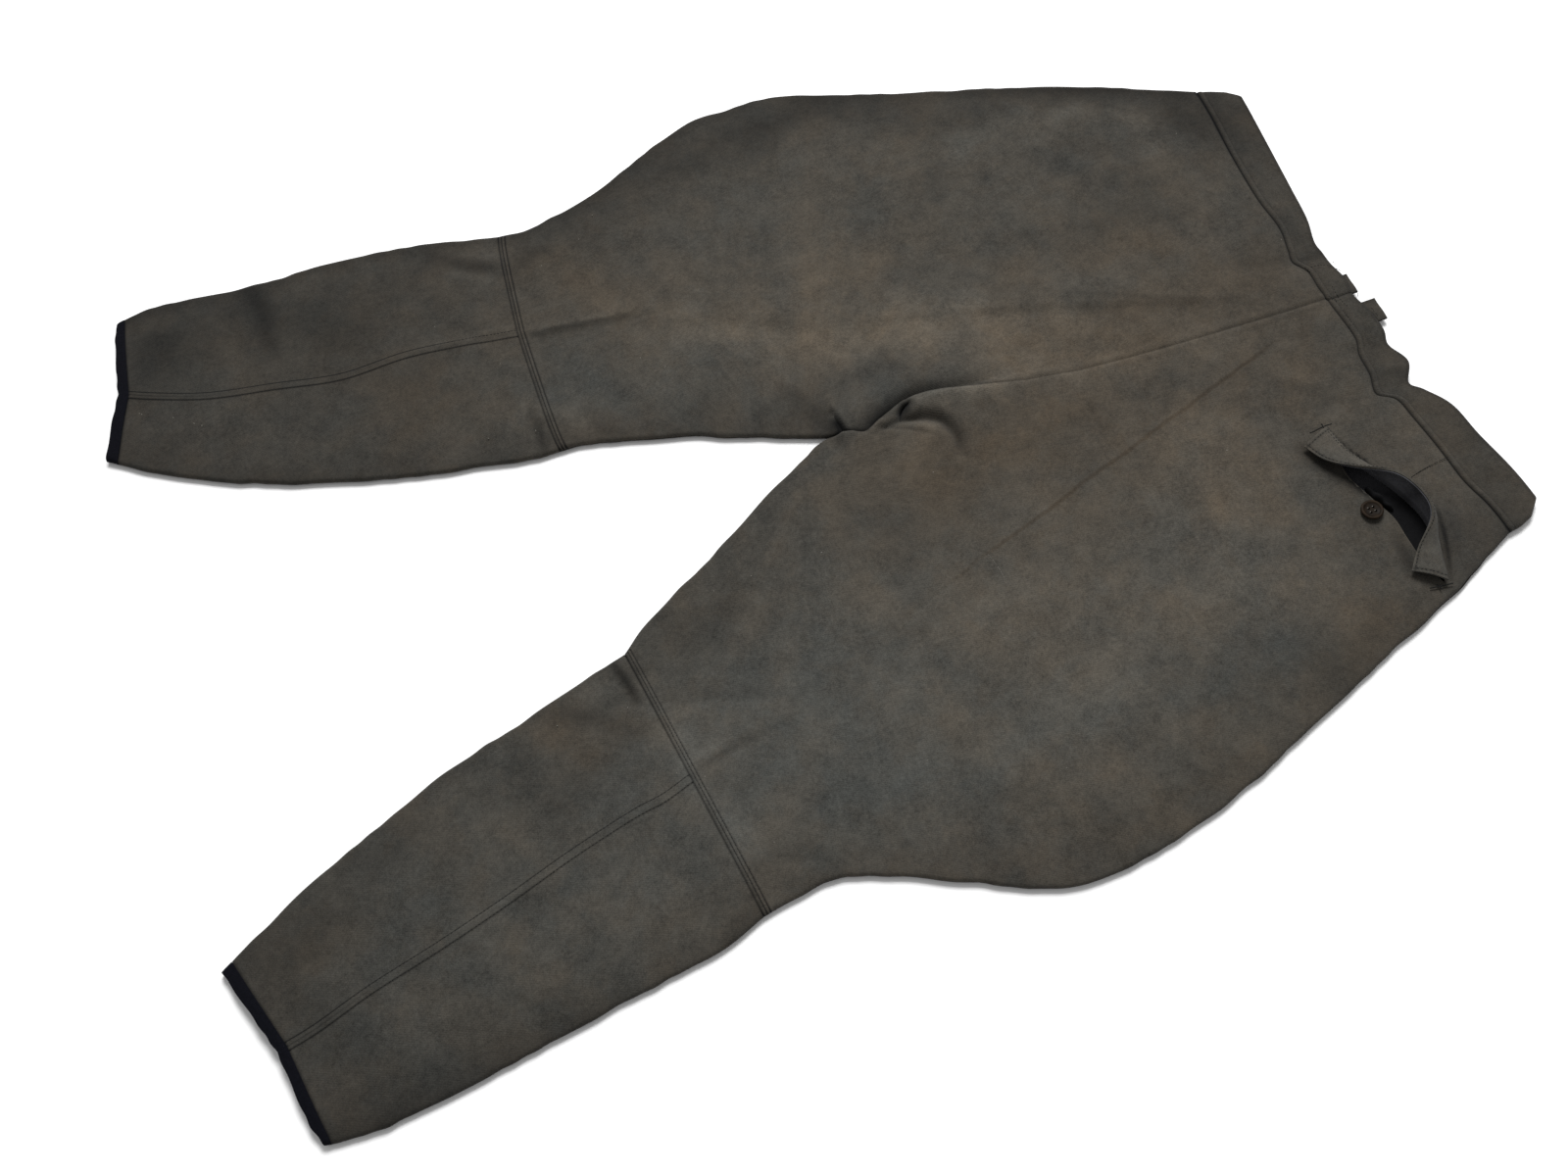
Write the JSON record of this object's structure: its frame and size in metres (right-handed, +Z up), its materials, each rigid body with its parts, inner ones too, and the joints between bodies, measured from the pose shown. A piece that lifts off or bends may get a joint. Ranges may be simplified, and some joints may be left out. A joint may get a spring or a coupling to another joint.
{
  "type": "knee breeches",
  "caption": "Wool riding-cut knee breeches laid flat, seat side up: flared thighs, seamed calf pieces, waistband, one hip pocket with a raised flap and a button.",
  "frame": {"origin": "on the surface the garment lies on, under the middle of its plan", "axes": "+X from the leg hems to the waist, +Y to the wearer's left leg, +Z up out of the seat side, which lies uppermost"},
  "size_m": [1.015, 0.7449, 0.0274],
  "materials": {
    "wool_cloth": "napped heavy wool twill, matte",
    "waistband_cloth": "the same wool, interlined, matte",
    "hem_tape": "black woven tape, matte",
    "pocket_lining": "near-black cotton twill",
    "button": "dark brown, semi-matte"
  },
  "bodies": {
    "root": {"back_left": "wool_cloth", "back_right": "wool_cloth", "front_left": "wool_cloth", "front_right": "wool_cloth", "lower_leg_left": "wool_cloth", "lower_leg_right": "wool_cloth", "hem_binding_left": "hem_tape", "hem_binding_right": "hem_tape", "waistband_left": "waistband_cloth", "waistband_right": "waistband_cloth", "waist_loop_left": "waistband_cloth", "waist_loop_right": "waistband_cloth", "pocket_flap": "wool_cloth", "pocket_flap_lining": "pocket_lining", "pocket_bag": "pocket_lining", "pocket_button": "button"}
  },
  "joints": []
}
